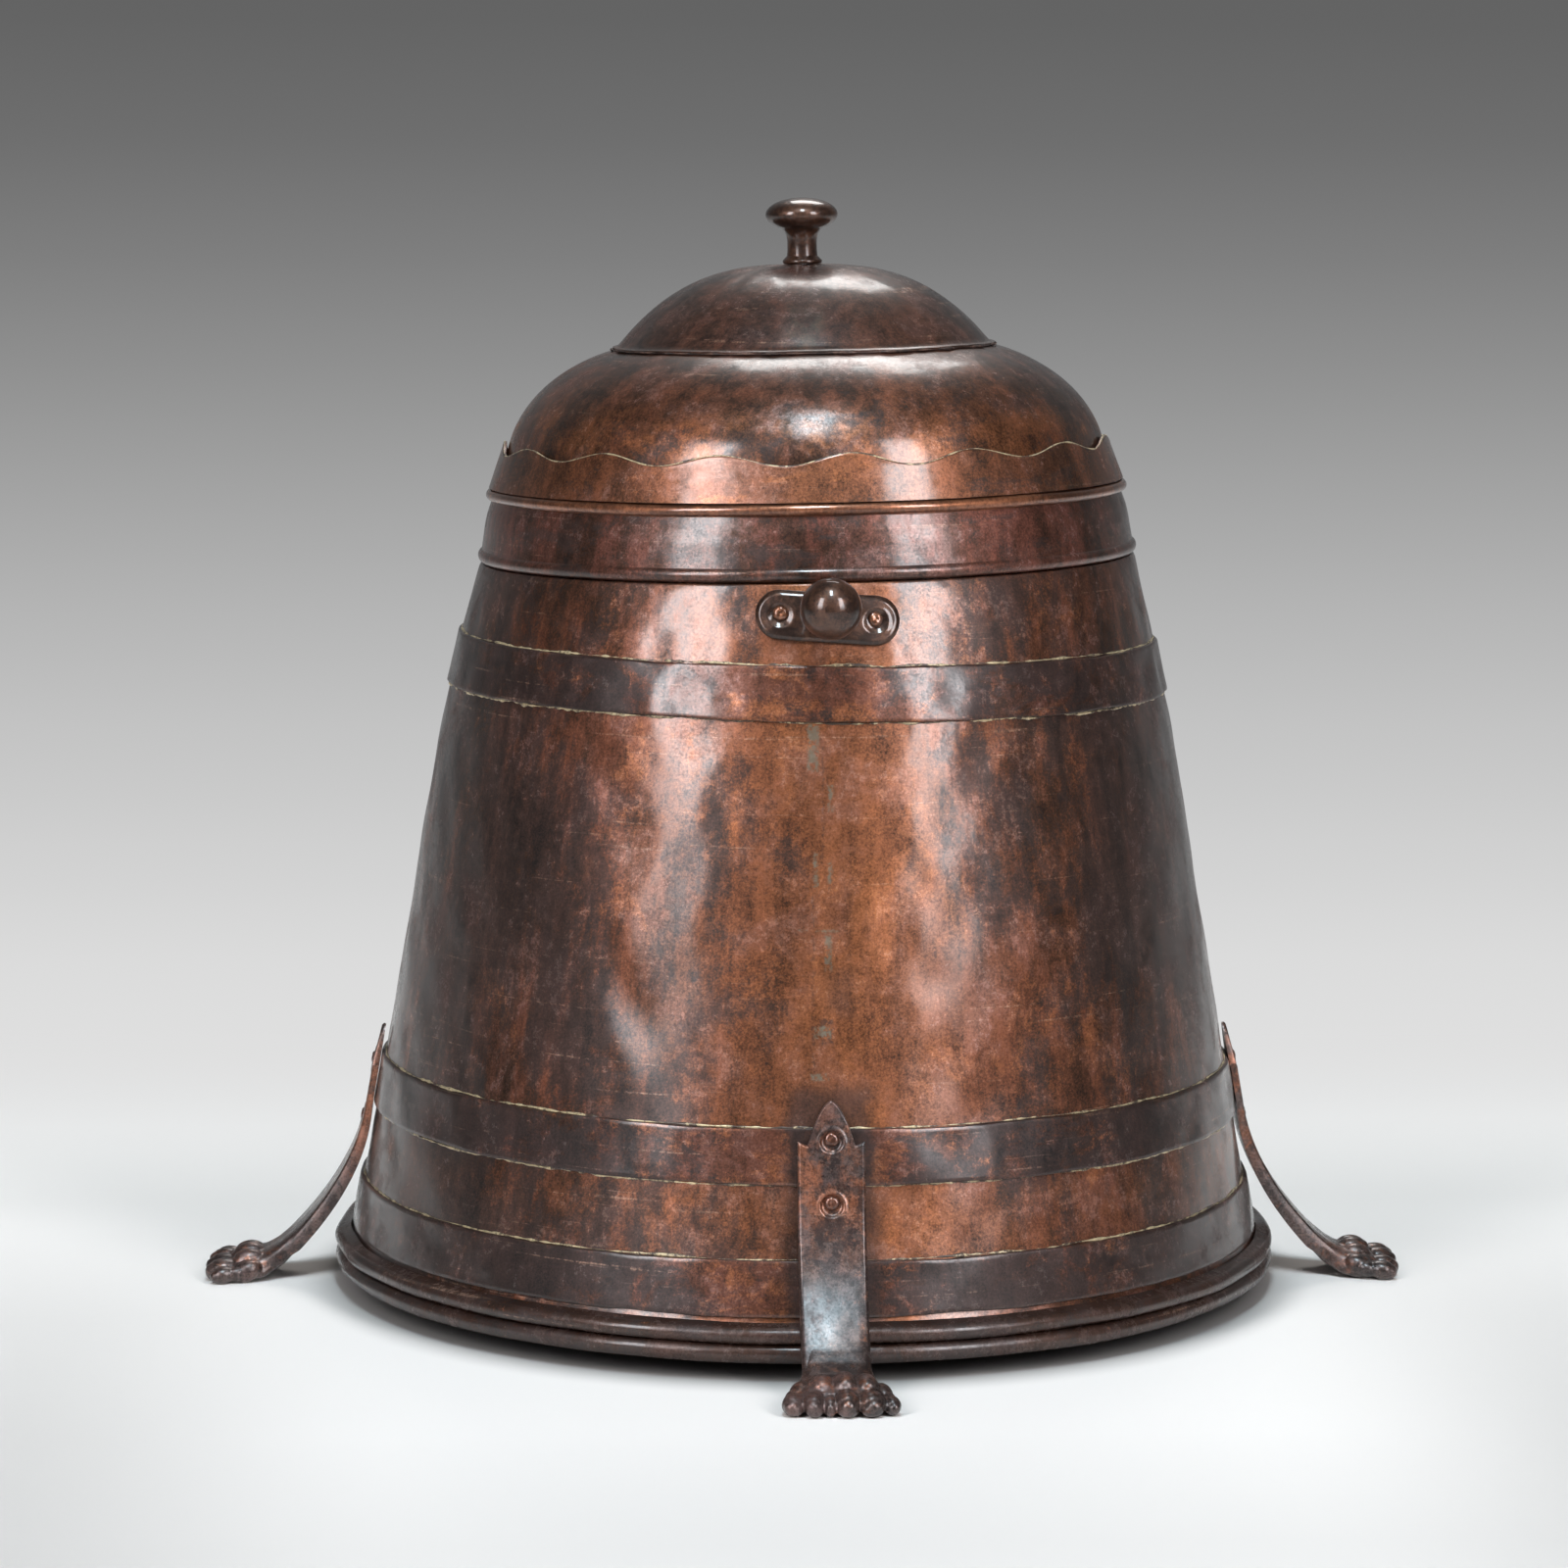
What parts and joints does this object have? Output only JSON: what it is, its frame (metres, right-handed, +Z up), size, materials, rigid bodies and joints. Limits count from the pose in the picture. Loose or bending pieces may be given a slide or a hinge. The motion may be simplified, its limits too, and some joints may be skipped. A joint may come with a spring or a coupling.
{
  "type": "coal scuttle",
  "caption": "Covered copper coal scuttle: tapered banded body on paw-footed straps, with a domed lid that lifts off and ball-knob handles.",
  "frame": {"origin": "on the scuttle's axis at floor level, under the paws", "axes": "+Z up along the axis, -Y to the front, where one handle and one leg are, +X to the right as seen from the front"},
  "size_m": [0.5486, 0.5486, 0.4906],
  "materials": {
    "wall_copper": "old copper, dark red-brown patina with worn orange patches",
    "band_copper": "old copper strip, dark mottled patina",
    "lid_copper": "old copper, dark brown patina",
    "bead_copper": "copper worn bright",
    "base_copper": "old copper, nearly black patina",
    "leg_bronze": "cast bronze, gunmetal brown patina",
    "knob_bronze": "cast bronze, glossy brown patina",
    "rivet_copper": "copper rivet heads",
    "iron": "dark iron"
  },
  "bodies": {
    "scuttle": {"body_wall": "wall_copper", "neck_collar": "wall_copper", "mouth_hoop": "band_copper", "upper_band": "band_copper", "lower_band": "band_copper", "base_band": "band_copper", "base_tray": "base_copper", "foot_ring": "base_copper", "leg_front": "leg_bronze", "leg_rivet_front_upper": "rivet_copper", "leg_rivet_front_lower": "rivet_copper", "leg_right": "leg_bronze", "leg_rivet_right_upper": "rivet_copper", "leg_rivet_right_lower": "rivet_copper", "leg_rear": "leg_bronze", "leg_rivet_rear_upper": "rivet_copper", "leg_rivet_rear_lower": "rivet_copper", "leg_left": "leg_bronze", "leg_rivet_left_upper": "rivet_copper", "leg_rivet_left_lower": "rivet_copper", "handle_plate_front": "knob_bronze", "handle_knob_front": "knob_bronze", "handle_washer_front": "rivet_copper", "handle_rivet_front_left": "rivet_copper", "handle_rivet_front_right": "rivet_copper", "handle_plate_rear": "knob_bronze", "handle_knob_rear": "knob_bronze", "handle_washer_rear": "rivet_copper", "handle_rivet_rear_left": "rivet_copper", "handle_rivet_rear_right": "rivet_copper"},
    "lid": {"lid_skirt": "lid_copper", "lid_rim_wire": "iron", "lid_bead": "bead_copper", "lid_collar": "lid_copper", "lid_shoulder": "lid_copper", "lid_crown": "lid_copper", "lid_knob": "knob_bronze", "lid_knob_washer": "rivet_copper", "lid_knob_nut": "iron"}
  },
  "joints": [
    {"name": "lid_lift", "type": "slide", "parent": "scuttle", "child": "lid", "axis": [0, 0, 1], "range_m": [0, 0.12]}
  ]
}
